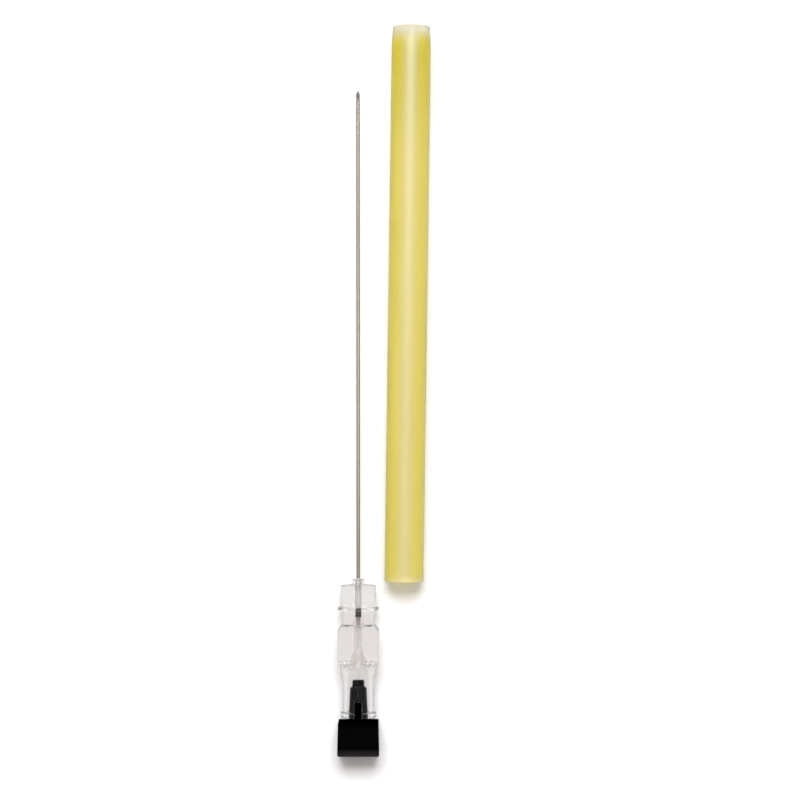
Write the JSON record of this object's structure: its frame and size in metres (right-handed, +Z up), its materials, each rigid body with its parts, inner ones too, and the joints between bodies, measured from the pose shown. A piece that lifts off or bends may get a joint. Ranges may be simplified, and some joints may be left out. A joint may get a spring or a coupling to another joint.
{
  "type": "spinal needle",
  "caption": "Slender hollow needle with a bevelled point, a clear keyed hub, a black-capped stylet that slides out of it, and a tubular sheath lying alongside.",
  "frame": {"origin": "on the surface that the needle lies on, under the middle of the grip, straight below the needle's axis", "axes": "+X along the needle's axis towards its point, +Z up and out of the surface, +Y to the side away from the sheath"},
  "size_m": [0.1342, 0.0173, 0.0075],
  "materials": {
    "clear_plastic": "clear moulded plastic, very slightly cloudy",
    "ground_steel": "drawn and polished stainless steel with a ground point",
    "cured_adhesive": "clear cured adhesive",
    "black_plastic": "black moulded plastic with a satin surface",
    "drawn_wire": "drawn stainless steel",
    "yellow_plastic": "thin translucent yellow tube"
  },
  "bodies": {
    "needle": {"hub": "clear_plastic", "cannula": "ground_steel", "adhesive": "cured_adhesive", "sheath": "yellow_plastic"},
    "stylet": {"stylet_cap": "black_plastic", "stylet_wire": "drawn_wire"}
  },
  "joints": [
    {"name": "stylet_slide", "type": "slide", "parent": "needle", "child": "stylet", "axis": [-1, 0, 0], "range_m": [0, 0.118]}
  ]
}
